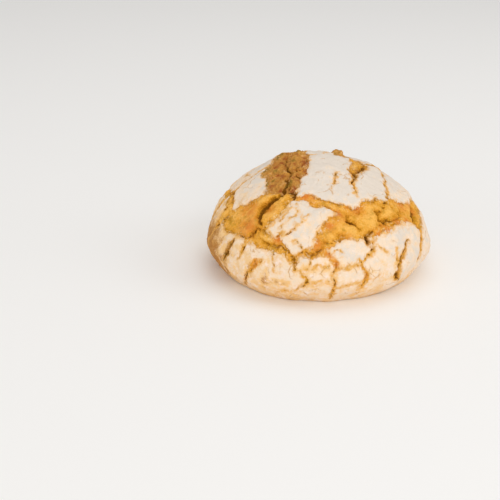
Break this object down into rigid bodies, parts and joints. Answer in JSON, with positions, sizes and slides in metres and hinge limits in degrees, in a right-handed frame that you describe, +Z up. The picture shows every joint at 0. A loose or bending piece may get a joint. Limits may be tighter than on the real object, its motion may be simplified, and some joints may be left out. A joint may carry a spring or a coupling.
{
  "type": "corn bread loaf",
  "caption": "Round rustic corn bread loaf, flat underneath, its floured crust split into plates by deep golden tears.",
  "frame": {"origin": "middle of the footprint's box, on the plane that the loaf rests on", "axes": "+Z up through the crown; -Y the side with the wide tear; +X to the right seen from that side"},
  "size_m": [0.1592, 0.169, 0.082],
  "materials": {
    "crust": "matt floured crust with rough golden tears"
  },
  "bodies": {
    "root": {"loaf": "crust"}
  },
  "joints": []
}
